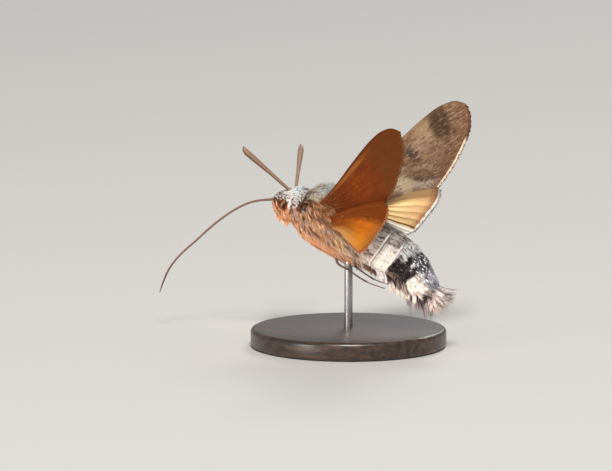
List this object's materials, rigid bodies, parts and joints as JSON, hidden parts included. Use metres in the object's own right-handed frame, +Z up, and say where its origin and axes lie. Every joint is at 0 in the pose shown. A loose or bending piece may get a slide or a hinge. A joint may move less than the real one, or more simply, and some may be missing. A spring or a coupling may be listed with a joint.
{
  "type": "hummingbird hawk moth model",
  "caption": "Life-size hovering hummingbird hawk moth, wings raised and tongue stretched forward, on a round display stand.",
  "frame": {"origin": "centre of the underside of the stand's base, which rests on the floor", "axes": "+Z up; the moth faces -X, with its left side towards -Y and its tail towards +X"},
  "size_m": [0.0481, 0.028, 0.0352],
  "materials": {
    "scales_grey": "matt, densely furred with grey and tan scales",
    "scales_abdomen": "matt, overlapping grey, white and black scales",
    "tail_scales": "matt, long dark scales with pale tips",
    "eye_brown": "glossy",
    "wing_brown": "matt, powdery",
    "wing_orange": "matt, powdery",
    "feeler_tan": "matt",
    "tongue_brown": "satin",
    "leg_tan": "matt",
    "stand_wood": "dark stained, satin",
    "stand_steel": "satin"
  },
  "bodies": {
    "root": {"head": "scales_grey", "thorax": "scales_grey", "abdomen": "scales_abdomen", "tail_fan": "tail_scales", "eye_left": "eye_brown", "eye_right": "eye_brown", "forewing_left": "wing_brown", "forewing_right": "wing_brown", "hindwing_left": "wing_orange", "hindwing_right": "wing_orange", "antenna_left": "feeler_tan", "antenna_right": "feeler_tan", "palp_left": "scales_grey", "palp_right": "scales_grey", "proboscis_base": "tongue_brown", "proboscis_middle": "tongue_brown", "proboscis_tip": "tongue_brown", "leg_fore_left": "leg_tan", "leg_fore_right": "leg_tan", "leg_mid_left": "leg_tan", "leg_mid_right": "leg_tan", "leg_hind_left": "leg_tan", "leg_hind_right": "leg_tan", "stand_base": "stand_wood", "stand_rod": "stand_steel"}
  },
  "joints": []
}
